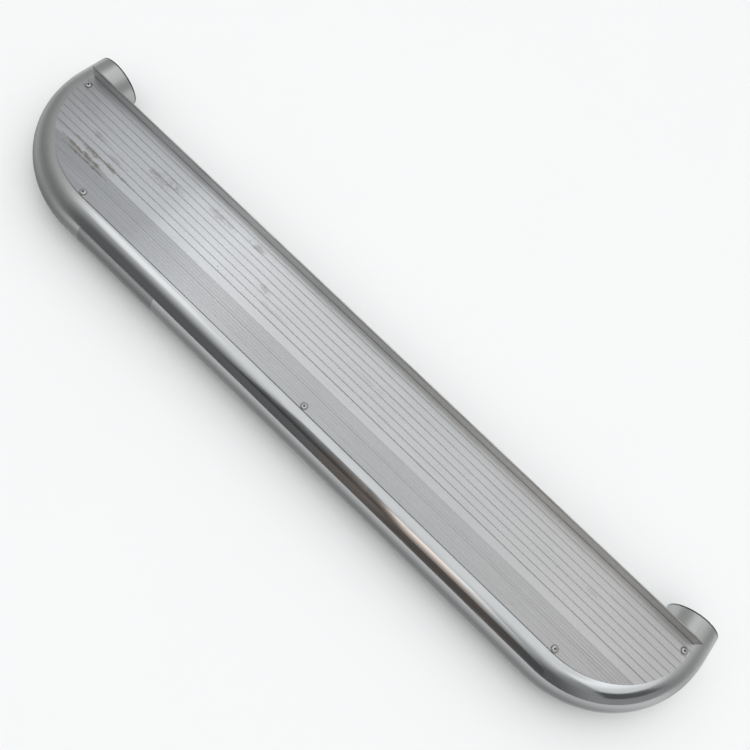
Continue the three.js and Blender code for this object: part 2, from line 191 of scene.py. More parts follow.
class Wire:
    def __init__(self, graph, socket):
        self.graph = graph
        self.socket = socket

    def __add__(self, other):
        return self.graph.sum("ADD", self, other)

    def __radd__(self, other):
        return self.graph.sum("ADD", other, self)

    def __sub__(self, other):
        return self.graph.sum("SUBTRACT", self, other)

    def __rsub__(self, other):
        return self.graph.sum("SUBTRACT", other, self)

    def __mul__(self, other):
        return self.graph.sum("MULTIPLY", self, other)

    def __rmul__(self, other):
        return self.graph.sum("MULTIPLY", other, self)

    def __truediv__(self, other):
        return self.graph.sum("DIVIDE", self, other)

    def __pow__(self, other):
        return self.graph.sum("POWER", self, other)

    def ramp(self, low, high, bottom=0.0, top=1.0):
        return self.graph.add("ShaderNodeMapRange", {"interpolation_type": "SMOOTHSTEP"},
                              {"Value": self, "From Min": low, "From Max": high,
                               "To Min": bottom, "To Max": top})


class Graph:
    def __init__(self, owner):
        owner.use_nodes = True
        self.tree = owner.node_tree
        self.tree.nodes.clear()

    def add(self, kind, settings=None, inputs=None, out=0):
        node = self.tree.nodes.new(kind)
        for key, value in (settings or {}).items():
            setattr(node, key, value)
        for key, value in (inputs or {}).items():
            if isinstance(value, Wire):
                self.tree.links.new(value.socket, node.inputs[key])
            else:
                node.inputs[key].default_value = value
        return Wire(self, node.outputs[out])

    def sum(self, operation, a, b=0.0):
        return self.add("ShaderNodeMath", {"operation": operation}, {0: a, 1: b})

    def blend(self, factor, a, b, kind="MIX"):
        return self.add("ShaderNodeMix", {"data_type": "RGBA", "blend_type": kind},
                        {0: factor, 6: a, 7: b}, out=2)

    def vector(self, x, y, z):
        return self.add("ShaderNodeCombineXYZ", None, {0: x, 1: y, 2: z})

    def split(self, source):
        return [self.add("ShaderNodeSeparateXYZ", None, {0: source}, out=i) for i in range(3)]

    def noise(self, at, detail=3.0, roughness=0.5, distortion=0.0):
        return self.add("ShaderNodeTexNoise", None,
                        {"Vector": at, "Scale": 1.0, "Detail": detail, "Roughness": roughness,
                         "Distortion": distortion})

    def grey(self, value):
        return self.add("ShaderNodeCombineColor", None, {0: value, 1: value, 2: value})

    def output(self, kind, surface):
        node = self.tree.nodes.new(kind)
        self.tree.links.new(surface.socket, node.inputs["Surface"])


def newMaterial(name):
    material = bpy.data.materials.new(name)
    return material, Graph(material)


def finishMaterial(graph, settings, height=None, lift=0.0002, strength=0.5):
    # settings are sockets of the main shader; height is a bump height from 0 to 1
    if height is not None:
        settings["Normal"] = graph.add("ShaderNodeBump", None,
                                       {"Height": height, "Distance": lift, "Strength": strength})
    surface = graph.add("ShaderNodeBsdfPrincipled", None, settings)
    graph.output("ShaderNodeOutputMaterial", surface)


# finishes

chromeLook = {
    "colour": (0.60, 0.605, 0.61, 1),
    "dullColour": (0.50, 0.50, 0.495, 1),
    "roughness": 0.07,
    "dullRoughness": 0.44,
    "haze": 0.06,
    "waviness": 0.25,
    # painted shade: how much the lower outer side of the tube is darkened, dimming the floor's
    # reflection there
    "lowerPaintedShade": 0.68,
    # painted shade: how much the outer side of each bend is darkened
    "bendPaintedShade": 0.22,
    "film": (-0.419, -0.269, 50, 132),  # blank label: its ends along the tube, and in degrees round it
    "filmTone": 0.30,
}


def makeChrome():
    material, g = newMaterial("chromedTube")
    x, y, z = g.split(g.add("ShaderNodeTexCoord", None, None, out=3))
    run = g.add("ShaderNodeAttribute", {"attribute_name": "tubeRun"}, None, out=1)
    along, side, up = g.split(run)
    lines = g.noise(g.vector(along * 5, side * 1300, up * 1300), 2.0)
    cloud = g.noise(g.vector(x * 14, y * 14, z * 14), 4.0, 0.6)
    smear = g.noise(g.vector(along * 10, side * 60, up * 60), 4.0, 0.6, 0.4)
    stub = y.ramp(0.015, 0.075)
    dull = stub * 0.85 + (x.ramp(-0.38, -0.50) * 0.98 + along.ramp(0.585, 0.64) * 0.8) * (1 - stub)
    smudge = smear.ramp(0.52, 0.68)
    # painted shade on the lower outer side of the tube, then added on the outer side of the bends
    paintedShade = (side - up * 0.85).ramp(0.002, 0.030) * chromeLook["lowerPaintedShade"] * (1 - stub * 0.7)
    bend = g.sum("ABSOLUTE", along).ramp(0.43, 0.50) * (1 - stub)
    paintedShade = paintedShade + bend * side.ramp(0.008, 0.020) * (1 - paintedShade) * chromeLook["bendPaintedShade"]
    startX, endX, startTurn, endTurn = chromeLook["film"]
    turn = g.sum("ARCTAN2", side, up) * (180 / math.pi)
    film = (along.ramp(startX, startX + 0.0006) * along.ramp(endX, endX - 0.0006)
            * turn.ramp(startTurn, startTurn + 0.8) * turn.ramp(endTurn, endTurn - 0.8))
    rough = (chromeLook["roughness"] + dull * (chromeLook["dullRoughness"] - chromeLook["roughness"])
             + cloud.ramp(0.45, 0.75) * chromeLook["haze"] + smudge * 0.05
             + lines.ramp(0.45, 0.8) * 0.05 + film * 0.10)
    colour = g.blend(dull, chromeLook["colour"], chromeLook["dullColour"])
    tone = (0.93 + cloud * 0.14 - smudge * 0.06
            + (lines - 0.5) * (0.05 + dull * 0.22)) * (1 - paintedShade) * (1 - film * chromeLook["filmTone"])
    colour = g.blend(1.0, colour, g.grey(tone), "MULTIPLY")
    waves = g.noise(g.vector(along * 9, side * 22, up * 22), 2.0)
    height = waves * chromeLook["waviness"] + lines * dull * 0.02
    finishMaterial(g, {"Base Color": colour, "Metallic": 1.0, "Roughness": rough}, height, 0.0008, 0.6)
    return material


treadLook = {
    "colour": (0.545, 0.545, 0.55, 1),
    # painted reflection colour: a bluish cast at the left end and a warm cast at the right end
    "leftReflectionTint": (0.985, 0.995, 1.02, 1),
    "rightReflectionTint": (1.02, 1.0, 0.985, 1),
    # stain colour, also used for the painted shade round the rivet heads
    "stainAndShade": (0.165, 0.152, 0.125, 1),
    "roughness": 0.34,
    "fineTone": 0.175,
    "frontTone": 0.20,
    "backTone": -0.19,
    # painted light: extra brightness on the wide ribs of the left half
    "leftPaintedLift": 0.12,
    # where each zone fades in, behind the front tube's axis
    "fineBorder": (0.0462, 0.0452),
    "frontBorder": (0.0082, 0.0074),
    "backBorder": (0.1362, 0.1368),
    # middle, half size and strength of each handling stain
    "stains": [(-0.392, 0.028, 0.026, 0.010, 0.50), (-0.475, -0.018, 0.055, 0.004, 0.65),
               (-0.505, -0.029, 0.045, 0.003, 0.85), (-0.488, -0.036, 0.05, 0.002, 0.8),
               (-0.505, 0.006, 0.02, 0.006, 0.45), (-0.46, -0.004, 0.03, 0.003, 0.4),
               (-0.30, 0.047, 0.030, 0.006, 0.35), (-0.225, 0.052, 0.010, 0.005, 0.4),
               (-0.17, 0.012, 0.012, 0.004, 0.35), (-0.145, -0.005, 0.03, 0.004, 0.2),
               (0.03, 0.02, 0.05, 0.003, 0.25), (0.44, 0.022, 0.02, 0.003, 0.35),
               (-0.575, 0.03, 0.03, 0.03, 0.25), (0.56, -0.03, 0.05, 0.02, 0.12)],
}


def makeTread():
    material, g = newMaterial("ribbedAluminium")
    x, y, z = g.split(g.add("ShaderNodeTexCoord", None, None, out=3))
    fine = g.noise(g.vector(x * 9, y * 2200, z * 400), 2.0)
    streak = g.noise(g.vector(x * 7, y * 260, z * 40), 4.0, 0.6)
    patch = g.noise(g.vector(x * 16, y * 30, z * 10), 5.0, 0.62, 0.3)
    blotch = g.noise(g.vector(x * 60, y * 110, 2.0), 6.0, 0.7, 0.4)
    grain = g.noise(g.vector(x * 500, y * 700, z * 500), 2.0)
    scratchMask = g.noise(g.vector(x * 18, y * 40, 0), 2.0).ramp(0.54, 0.66)
    scratch = g.noise(g.vector(x * 12, y * 800, 3.0), 1.0).ramp(0.63, 0.70) * scratchMask
    slant = g.noise(g.vector(x * 90 + y * 300, y * 700 - x * 500, 5.0), 1.0).ramp(0.74, 0.79)
    pits = g.noise(g.vector(x * 150, y * 220, 9.0), 1.0).ramp(0.79, 0.81)
    low = z.ramp(plateHigh.z - 0.0002, plateHigh.z - 0.0005)
    behind = y - frontAxisY
    fineZone, frontStrip, backStrip = (behind.ramp(*treadLook[key]) for key in
                                       ("fineBorder", "frontBorder", "backBorder"))
    # patchy darkening of the groove floors, towards the stain colour
    grooveFloorDarkening = g.noise(g.vector(x * 9, y * 90, 0), 4.0, 0.6).ramp(0.35, 0.7)
    soilAndRivetShade = patch.ramp(0.60, 0.85) * 0.22 + blotch.ramp(0.60, 0.80) * x.ramp(-0.25, -0.50) * 0.30
    for centreX, centreY, halfX, halfY, amount in treadLook["stains"]:
        farX = (x - centreX) * (1 / halfX)
        farY = (y - centreY) * (1 / halfY)
        reach = (farX * farX + farY * farY) + (blotch - 0.5) * 7.0 + (streak - 0.5) * 3.0
        soilAndRivetShade = soilAndRivetShade + reach.ramp(1.6, -0.4) * amount
    # painted shade: a dark ring on the plate round each rivet head, mixed in with the stains
    for where in rivetPlaces:
        rivetLow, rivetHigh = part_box("rivet_" + where)
        farX = x - (rivetLow.x + rivetHigh.x) / 2
        farY = y - (rivetLow.y + rivetHigh.y) / 2
        away = (farX * farX + farY * farY) ** 0.5 + (blotch - 0.5) * 0.002
        soilAndRivetShade = soilAndRivetShade + away.ramp(0.0066, 0.0053) * 0.60
    soilAndRivetShade = soilAndRivetShade + low * grooveFloorDarkening * 0.10 + scratch * 0.30 + pits * 0.7
    # painted reflection tint: the plate turns bluish towards the left end and warm towards the right
    # end
    reflectionTint = g.blend(x.ramp(-0.45, -0.05), treadLook["leftReflectionTint"], (1, 1, 1, 1))
    reflectionTint = g.blend(x.ramp(0.05, 0.55), reflectionTint, treadLook["rightReflectionTint"])
    tone = (1.0 + (streak - 0.5) * 0.22 + (fine - 0.5) * 0.16 + (grain - 0.5) * 0.16
            + (patch - 0.5) * 0.16 - fineZone * treadLook["fineTone"]
            - frontStrip * (treadLook["frontTone"] - treadLook["fineTone"])
            - backStrip * treadLook["backTone"] + slant * 0.10)
    # painted light along the plate: a painted highlight near x -0.25, painted shade left of x -0.35, a
    # painted brighter band of wide ribs on the left, and painted shade at both ends and along the back
    # strip there
    paintedHighlight = x.ramp(-0.33, -0.25) * x.ramp(-0.10, -0.23)
    tone = tone * x.ramp(-0.37, -0.33, 0.88, 1.0) * (1.04 + paintedHighlight * 0.13)
    leftPaintedLight = (1 - fineZone) * x.ramp(-0.20, -0.32) * x.ramp(-0.60, -0.50)
    tone = tone * (1 + leftPaintedLight * treadLook["leftPaintedLift"])
    paintedEndShade = x.ramp(-0.45, -0.585) + x.ramp(0.45, 0.585)
    tone = tone * (1 - paintedEndShade * 0.09 - backStrip * paintedEndShade * 0.18)
    colour = g.blend(1.0, treadLook["colour"], reflectionTint, "MULTIPLY")
    colour = g.blend(1.0, colour, g.grey(tone), "MULTIPLY")
    colour = g.blend(soilAndRivetShade.ramp(0.0, 1.0), colour, treadLook["stainAndShade"])
    rough = (treadLook["roughness"] + (streak - 0.5) * 0.22 + (patch - 0.5) * 0.18
             + soilAndRivetShade * 0.15 - slant * 0.1)
    height = fine * 0.3 + streak * 0.25 + grain * 0.15 - scratch * 0.4 - pits * 0.6
    metal = 0.92 - soilAndRivetShade.ramp(0.1, 0.9) * 0.5
    finishMaterial(g, {"Base Color": colour, "Metallic": metal, "Roughness": rough},
                   height, 0.00012, 0.6)
    return material


angleLook = {
    "colour": (0.62, 0.62, 0.605, 1),
    # edge colour: painted shade for the upper band of the upright
    "edge": (0.34, 0.335, 0.32, 1),
    "roughness": 0.33,
}


def makeSatin(name="satinSteel", look=angleLook):
    material, g = newMaterial(name)
    x, y, z = g.split(g.add("ShaderNodeTexCoord", None, None, out=3))
    brush = g.noise(g.vector(x * 10, y * 1500, z * 1500), 3.0)
    streak = g.noise(g.vector(x * 9, y * 160, z * 160), 4.0, 0.6)
    cloud = g.noise(g.vector(x * 11, y * 25, z * 25), 4.0, 0.6, 0.4)
    nick = g.noise(g.vector(x * 120, y * 400, z * 400), 1.0).ramp(0.74, 0.79)
    # painted shade: the upper band of the upright is darkened towards its top edge
    edge = z.ramp(angleHigh.z - 0.0060, angleHigh.z - 0.0008)
    tone = 1.0 + (brush - 0.5) * 0.22 + (streak - 0.5) * 0.25 + (cloud - 0.5) * 0.45 - nick * 0.3
    colour = g.blend(edge * (0.5 + cloud.ramp(0.35, 0.6) * 0.5), look["colour"], look["edge"])
    colour = g.blend(1.0, colour, g.grey(tone), "MULTIPLY")
    # painted shade towards both ends and a painted highlight near x 0.18-0.46; this tone comes after
    # the colour and does not reach it
    tone = tone * x.ramp(-0.58, -0.36, 0.54, 1.0) * x.ramp(0.58, 0.40, 0.62, 1.0) * (
        1 + x.ramp(0.18, 0.30) * x.ramp(0.46, 0.36) * 0.12)
    rough = look["roughness"] + (streak - 0.5) * 0.2 + (cloud - 0.5) * 0.2 - edge * 0.08
    finishMaterial(g, {"Base Color": colour, "Metallic": 1.0, "Roughness": rough},
                   brush * 0.5 + streak * 0.3 - nick * 0.6, 0.0001, 0.6)
    return material


def makeRivet(name, colour, roughness):
    material, g = newMaterial(name)
    at = g.add("ShaderNodeTexCoord", None, None, out=3)
    x, y, z = g.split(at)
    dent = g.noise(g.vector(x * 900, y * 900, z * 900), 3.0)
    mark = g.noise(g.vector(x * 300, y * 1900, z * 300), 2.0)
    tone = 0.85 + dent * 0.2 + mark * 0.1
    shade = g.blend(1.0, colour, g.grey(tone), "MULTIPLY")
    finishMaterial(g, {"Base Color": shade, "Metallic": 1.0,
                       "Roughness": roughness + (dent - 0.5) * 0.3},
                   dent * 0.6 + mark * 0.4, 0.00008, 0.6)
    return material


def makePlastic():
    material, g = newMaterial("capPlastic")
    x, y, z = g.split(g.add("ShaderNodeTexCoord", None, None, out=3))
    grain = g.noise(g.vector(x * 1400, y * 1400, z * 1400), 2.0)
    cloud = g.noise(g.vector(x * 40, y * 40, z * 40), 4.0, 0.6)
    scuff = g.noise(g.vector(x * 90, y * 90, z * 700), 2.0).ramp(0.66, 0.72)
    worn = scuff * 0.5 + cloud.ramp(0.5, 0.8) * 0.2
    shade = g.blend(worn, (0.022, 0.022, 0.023, 1), (0.12, 0.12, 0.12, 1))
    finishMaterial(g, {"Base Color": shade, "Metallic": 0.0,
                       "Roughness": 0.5 + (cloud - 0.5) * 0.3 + scuff * 0.15},
                   grain * 0.7 + cloud * 0.2, 0.00012, 0.5)
    return material


def makeCoat():
    material, g = newMaterial("blackPowderCoat")
    x, y, z = g.split(g.add("ShaderNodeTexCoord", None, None, out=3))
    peel = g.noise(g.vector(x * 700, y * 700, z * 700), 3.0)
    cloud = g.noise(g.vector(x * 30, y * 30, z * 30), 4.0, 0.6)
    dust = g.noise(g.vector(x * 60, y * 60, z * 60), 5.0, 0.7).ramp(0.52, 0.75)
    chip = g.noise(g.vector(x * 260, y * 260, z * 260), 2.0).ramp(0.74, 0.77)
    shade = g.blend(dust * 0.35, (0.02, 0.02, 0.022, 1), (0.17, 0.16, 0.15, 1))
    shade = g.blend(chip, shade, (0.35, 0.33, 0.31, 1))
    finishMaterial(g, {"Base Color": shade, "Metallic": chip * 0.8,
                       "Roughness": 0.38 + (cloud - 0.5) * 0.25 + dust * 0.2},
                   peel * 0.8 - chip * 0.5, 0.00015, 0.5)
    return material


def makeZinc():
    material, g = newMaterial("zincPlate")
    x, y, z = g.split(g.add("ShaderNodeTexCoord", None, None, out=3))
    spangle = g.noise(g.vector(x * 500, y * 500, z * 500), 3.0)
    cloud = g.noise(g.vector(x * 110, y * 110, z * 110), 4.0, 0.6)
    shade = g.blend(cloud.ramp(0.4, 0.7), (0.52, 0.53, 0.56, 1), (0.62, 0.60, 0.52, 1))
    shade = g.blend(spangle.ramp(0.62, 0.75) * 0.4, shade, (0.32, 0.32, 0.33, 1))
    finishMaterial(g, {"Base Color": shade, "Metallic": 1.0,
                       "Roughness": 0.28 + (spangle - 0.5) * 0.3 + (cloud - 0.5) * 0.2},
                   spangle, 0.00006, 0.5)
    return material


chrome = makeChrome()
tread = makeTread()
satin = makeSatin()
rivetMetal = makeRivet("rivetAlloy", (0.55, 0.55, 0.54, 1), 0.32)
# painted shade: the near-black mandrel stands in for the shade inside the rivet hole
shadedMandrel = makeRivet("mandrelPaintedShade", (0.05, 0.05, 0.05, 1), 0.55)
plastic = makePlastic()
coat = makeCoat()
zinc = makeZinc()
print("finishes ready")


# outer tube

tube = {"sides": 96, "bendRadius": 0.150, "bendSteps": 28, "wall": 0.002}


def makeTube():
    bendX = stubAxisX - tube["bendRadius"]
    bendY = frontAxisY + tube["bendRadius"]
    clearSelection()
    bpy.ops.mesh.primitive_circle_add(vertices=tube["sides"], radius=tubeRadius, fill_type="NOTHING",
                                      location=(-stubAxisX, tubeHigh.y, axisZ),
                                      rotation=(math.radians(90), 0, 0))
    piece = startPiece("bent_tube")
    bpy.ops.mesh.select_all(action="SELECT")
    pull((0, bendY - tubeHigh.y, 0))
    for side in (-1, 1):
        bpy.ops.mesh.spin(steps=tube["bendSteps"], angle=math.radians(-90), dupli=False,
                          center=(side * bendX, bendY, axisZ), axis=(0, 0, 1))
        if side < 0:
            for _ in range(4):
                pull((bendX / 2, 0, 0))
    pull((0, tubeHigh.y - bendY, 0))
    recalculate()
    if pick(piece, "FACE", lambda p, n: p.z > tubeHigh.z - 0.001 and n.z < 0):
        bpy.ops.mesh.select_all(action="SELECT")
        bpy.ops.mesh.flip_normals()
    bpy.ops.object.mode_set(mode="OBJECT")
    modify(piece, "SOLIDIFY", thickness=tube["wall"], offset=-1)
    smoothByAngle(piece, 40)
    # straightened coordinates: along the tube, and across its section
    run = piece.data.attributes.new("tubeRun", "FLOAT_VECTOR", "POINT")
    quarter = tube["bendRadius"] * math.pi / 2
    for corner in piece.data.vertices:
        here = corner.co
        sign = 1 if here.x > 0 else -1
        if here.y > bendY:
            side = abs(here.x) - stubAxisX
            along = sign * (bendX + quarter + here.y - bendY)
        elif abs(here.x) > bendX:
            out = Vector((abs(here.x) - bendX, bendY - here.y))
            side = out.length - tube["bendRadius"]
            along = sign * (bendX + tube["bendRadius"] * math.atan2(out.x, out.y))
        else:
            side = frontAxisY - here.y
            along = here.x
        run.data[corner.index].vector = (along, side, here.z - axisZ)
    return piece


outerTube = hand(makeTube(), chrome, "polished_stainless", "outer_tube")
print("tube bent:", len(outerTube.data.polygons), "faces")


# tread plate

plate = {
    "cornerCentreX": 0.446,
    "cornerDepth": 0.1448,
    "cornerSteps": 40,
    "grooveWidth": 0.0016,
    "grooveFloor": 0.0006,
    "wideDepth": 0.00042,
    "fineDepth": 0.00034,
    "widePitch": 0.01102,
    "wideCount": 8,
    "backLand": 0.0113,
    "finePitch": 0.00438,
    "fineCount": 9,
    "frontLand": 0.0098,
    "rimRadius": 0.00024,
}


def grooveLines():
    wide = [plateHigh.y - plate["backLand"] - i * plate["widePitch"] for i in range(plate["wideCount"])]
    fine = [plateLow.y + plate["frontLand"] + i * plate["finePitch"] for i in range(plate["fineCount"])]
    return wide + fine


def makePlate():
    halfX = plate["cornerCentreX"] + plate["cornerDepth"]
    clearSelection()
    bpy.ops.mesh.primitive_plane_add(size=1, location=(0, (plateLow.y + plateHigh.y) / 2, plateHigh.z))
    bpy.context.object.scale = (2 * halfX, plateHigh.y - plateLow.y, 1)
    piece = startPiece("ribbed_tread")
    pick(piece, "VERT", lambda p: p.y < 0)
    bpy.ops.mesh.bevel(affect="VERTICES", offset=plate["cornerDepth"], offset_type="OFFSET",
                       segments=plate["cornerSteps"], profile=0.5)
    stretch = (plateHigh.x - plate["cornerCentreX"]) / plate["cornerDepth"]
    for side in (-1, 1):
        pick(piece, "VERT", lambda p: p.x * side > plate["cornerCentreX"] + 1e-5)
        bpy.ops.transform.resize(value=(stretch, 1, 1),
                                 center_override=(side * plate["cornerCentreX"], 0, 0))
    lines = grooveLines()
    for middle in lines:
        for offset in (-plate["grooveWidth"] / 2, -plate["grooveFloor"] / 2,
                       plate["grooveFloor"] / 2, plate["grooveWidth"] / 2):
            cut((0, middle + offset, plateHigh.z), (0, 1, 0))
    reach = plate["grooveFloor"] / 2 + 1e-5
    wide, fine = lines[:plate["wideCount"]], lines[plate["wideCount"]:]
    for chosen, depth in ((wide, plate["wideDepth"]), (fine, plate["fineDepth"])):
        pick(piece, "VERT", lambda p: any(abs(p.y - middle) < reach for middle in chosen))
        bpy.ops.transform.translate(value=(0, 0, -depth))
    bpy.ops.mesh.select_all(action="SELECT")
    pull((0, 0, plateLow.z - plateHigh.z))
    bpy.ops.transform.resize(value=(1, 1, 0), center_override=(0, 0, plateLow.z))
    recalculate()
    bpy.ops.object.mode_set(mode="OBJECT")
    roundEdges(piece, plate["rimRadius"], 2)
    return piece


ribbedTread = hand(makePlate(), tread, "mill_aluminium", "tread_plate")
print("tread cut:", len(ribbedTread.data.polygons), "faces")


# rear angle

angle = {"copeX": 0.574, "thickness": 0.002, "edge": 0.0006}


def makeAngle():
    legBottom = plateLow.z
    clearSelection()
    bpy.ops.mesh.primitive_cube_add(
        size=1, location=(0, angleHigh.y - angle["thickness"] / 2, (angleHigh.z + legBottom) / 2))
    bpy.context.object.scale = (angleHigh.x - angleLow.x, angle["thickness"], angleHigh.z - legBottom)
    piece = startPiece("rear_upright")
    for side in (-1, 1):
        cut((side * angle["copeX"], 0, 0), (1, 0, 0))
    pick(piece, "FACE", lambda p, n: n.z < -0.9 and abs(p.x) < angle["copeX"])
    pull((0, 0, angleLow.z + angle["thickness"] - legBottom))
    pull((0, 0, -angle["thickness"]))
    inner = angleHigh.y - angle["thickness"]
    pick(piece, "FACE", lambda p, n: n.y < -0.9 and p.z < angleLow.z + angle["thickness"])
    pull((0, angleLow.y - inner, 0))
    recalculate()
    bpy.ops.object.mode_set(mode="OBJECT")
    roundEdges(piece, angle["edge"], 3)
    return piece


rearUpright = hand(makeAngle(), satin, "satin_stainless", "rear_angle")
print("angle formed:", len(rearUpright.data.polygons), "faces")


# rivets

rivet = {
    "sides": 40,
    "headHeight": 0.0016,
    "head": [(0.00435, 0.0), (0.00475, 0.00025), (0.00472, 0.0005), (0.0044, 0.00085),
             (0.0037, 0.00122), (0.0030, 0.00145), (0.0024, 0.00158), (0.0021, 0.0016),
             (0.0019, 0.0015), (0.00178, 0.0012), (0.00172, 0.0002)],
    "mandrel": [(0.00115, 0.0003), (0.00115, 0.0006), (0.00105, 0.0008), (0.0007, 0.00088),
                (0.0003, 0.0008)],
}


def makeRivets():
    head = turned("rivet_head", rivet["head"], rivet["sides"])
    smoothByAngle(head, 50)
    pin = turned("mandrel_pin", rivet["mandrel"], 24)
    smoothByAngle(pin, 40)
    for where in rivetPlaces:
        low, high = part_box("rivet_" + where)
        centre = (low + high) / 2
        seat = high.z - rivet["headHeight"]
        dome = copyOf(head, "rivet_dome_" + where)
        place(dome, (centre.x, centre.y, seat))
        hand(dome, rivetMetal, "rivet_aluminium", "rivet_" + where)
        stem = copyOf(pin, "rivet_stem_" + where)
        place(stem, (centre.x, centre.y, seat))
        hand(stem, shadedMandrel, "rivet_steel", "mandrel_" + where)
    for model in (head, pin):
        bpy.data.objects.remove(model)


makeRivets()
print("rivets set")


# end caps

cap = {
    "sides": 96,
    "flange": 0.0025,
    "outline": [(0.0346, -0.015), (0.0356, -0.0138), (0.0356, 0.0), (0.0374, 0.0), (0.0379, 0.0004),
                (0.0379, 0.0013), (0.0376, 0.0019), (0.0369, 0.0023), (0.0358, 0.0025),
                (0.0345, 0.0024), (0.0335, 0.0019), (0.0325, 0.0017), (0.006, 0.0017),
                (0.0055, 0.0013), (0.0035, 0.0013)],
}


def makeCaps():
    model = turned("cap_model", cap["outline"], cap["sides"])
    smoothByAngle(model, 40)
    for where in ("left", "right"):
        low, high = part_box("end_cap_" + where)
        lid = copyOf(model, "tube_cap_" + where)
        place(lid, ((low.x + high.x) / 2, high.y - cap["flange"], (low.z + high.z) / 2),
              (math.radians(-90), 0, 0))
        hand(lid, plastic, "black_plastic", "end_cap_" + where)
    bpy.data.objects.remove(model)


makeCaps()
print("caps fitted")


# cross channels

channel = {"wall": 0.003, "slack": 0.0003, "corner": 0.0022, "edge": 0.0005, "boltHole": 0.0043,
           "cutter": 0.02}
channelPlaces = ["left", "middle", "right"]
boltPlaces = ["front", "rear"]


def subtract(piece, cutter):
    modify(piece, "BOOLEAN", operation="DIFFERENCE", object=cutter, solver="EXACT")
    bpy.data.objects.remove(cutter)


def post(radius, length, middle, turn=(0, 0, 0), sides=48):
    clearSelection()
    bpy.ops.mesh.primitive_cylinder_add(vertices=sides, radius=radius, depth=length,
                                        location=middle, rotation=turn)
    return bpy.context.object


def boltCentre(where, end):
    low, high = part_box("bolt_" + where + "_" + end)
    return (low + high) / 2


def makeChannel(where):
    low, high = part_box("cross_channel_" + where)
    middleX = (low.x + high.x) / 2
    inner = (high.x - low.x) / 2 - channel["wall"]
    floorTop = low.z + channel["wall"]
    seatY = angleLow.y - channel["slack"]
    seatZ = angleLow.z - channel["slack"]
    clearSelection()
    bpy.ops.mesh.primitive_cube_add(size=1, location=(middleX, (low.y + high.y) / 2,
                                                      (low.z + floorTop) / 2))
    bpy.context.object.scale = (high.x - low.x, high.y - low.y, channel["wall"])
    piece = startPiece("channel_" + where)
    for side in (-1, 1):
        cut((middleX + side * inner, 0, 0), (1, 0, 0))
    cut((0, seatY, 0), (0, 1, 0))
    # the walls rise to the angle's lower leg, and in front of it to the tread
    pick(piece, "FACE", lambda p, n: n.z > 0.9 and abs(p.x - middleX) > inner)
    pull((0, 0, seatZ - floorTop))
    pick(piece, "FACE", lambda p, n: n.z > 0.9 and p.z > seatZ - 1e-5 and p.y < seatY)
    pull((0, 0, high.z - seatZ))
    recalculate()
    pick(piece, "EDGE", lambda a, b: max(a.z, b.z) < low.z + 1e-5 and abs(a.x - b.x) < 1e-6
         and abs(a.x - middleX) > inner + 0.001)
    bpy.ops.mesh.bevel(offset=channel["corner"], segments=5, profile=0.5)
    bpy.ops.object.mode_set(mode="OBJECT")
    subtract(piece, post(tubeRadius + channel["slack"], 0.06, (middleX, frontAxisY, axisZ),
                         (0, math.radians(90), 0), 144))
    for end in boltPlaces:
        spot = boltCentre(where, end)
        subtract(piece, post(channel["boltHole"], channel["cutter"], (spot.x, spot.y, low.z)))
    roundEdges(piece, channel["edge"], 2)
    return piece


for where in channelPlaces:
    hand(makeChannel(where), coat, "black_coat", "cross_channel_" + where)
print("channels coped")


# mounting brackets

bracket = {
    "thickness": 0.005,
    "innerBend": 0.003,
    "bendSteps": 10,
    "mountHole": 0.0045,
    "mountHeights": (0.007, 0.025),  # above the lower end
    "corner": 0.005,
    "edge": 0.0006,
}


def makeBracket(where):
    low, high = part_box("mount_bracket_" + where)
    middleX = (low.x + high.x) / 2
    half = (high.x - low.x) / 2
    outerBend = bracket["innerBend"] + bracket["thickness"]
    bendY, bendZ = high.y - outerBend, high.z - outerBend
    clearSelection()
    bpy.ops.mesh.primitive_cube_add(size=1, location=(middleX, (low.y + bendY) / 2,
                                                      high.z - bracket["thickness"] / 2))
    bpy.context.object.scale = (2 * half, bendY - low.y, bracket["thickness"])
    piece = startPiece("bracket_" + where)
    pick(piece, "FACE", lambda p, n: n.y > 0.9)
    bpy.ops.mesh.spin(steps=bracket["bendSteps"], angle=math.radians(90), dupli=False,
                      center=(middleX, bendY, bendZ), axis=(1, 0, 0))
    pull((0, 0, low.z - bendZ))
    recalculate()
    pick(piece, "EDGE", lambda a, b: abs(abs(a.x - middleX) - half) < 1e-5
         and abs(a.x - b.x) < 1e-5
         and (max(a.y, b.y) < low.y + 1e-5 or max(a.z, b.z) < low.z + 1e-5))
    bpy.ops.mesh.bevel(offset=bracket["corner"], segments=6, profile=0.5)
    bpy.ops.object.mode_set(mode="OBJECT")
    middleZ = high.z - bracket["thickness"] / 2
    for end in boltPlaces:
        spot = boltCentre(where, end)
        subtract(piece, post(channel["boltHole"], channel["cutter"], (spot.x, spot.y, middleZ)))
    for rise in bracket["mountHeights"]:
        hole = (middleX, high.y - bracket["thickness"] / 2, low.z + rise)
        subtract(piece, post(bracket["mountHole"], channel["cutter"], hole, (math.radians(90), 0, 0)))
    roundEdges(piece, bracket["edge"], 2)
    return piece


for where in channelPlaces:
    hand(makeBracket(where), coat, "black_coat", "mount_bracket_" + where)
print("brackets bent")


# bolts, washers and nuts

bolt = {
    "acrossFlats": 0.013,
    "headDepth": 0.0053,
    "radius": 0.004,
    "root": 0.0034,
    "pitch": 0.00125,
    "threads": 13,
    "sides": 40,
    "washer": [(0.0043, 0.0001), (0.0044, 0.0), (0.0078, 0.0), (0.008, 0.0002), (0.008, 0.0014),
               (0.0078, 0.0016), (0.0044, 0.0016), (0.0043, 0.0015), (0.0043, 0.0001)],
    "nutDepth": 0.0065,
    "nutBore": 0.0043,
    "edge": 0.0002,
    "chamfer": 30,  # degrees
    "slack": 0.0002,
}


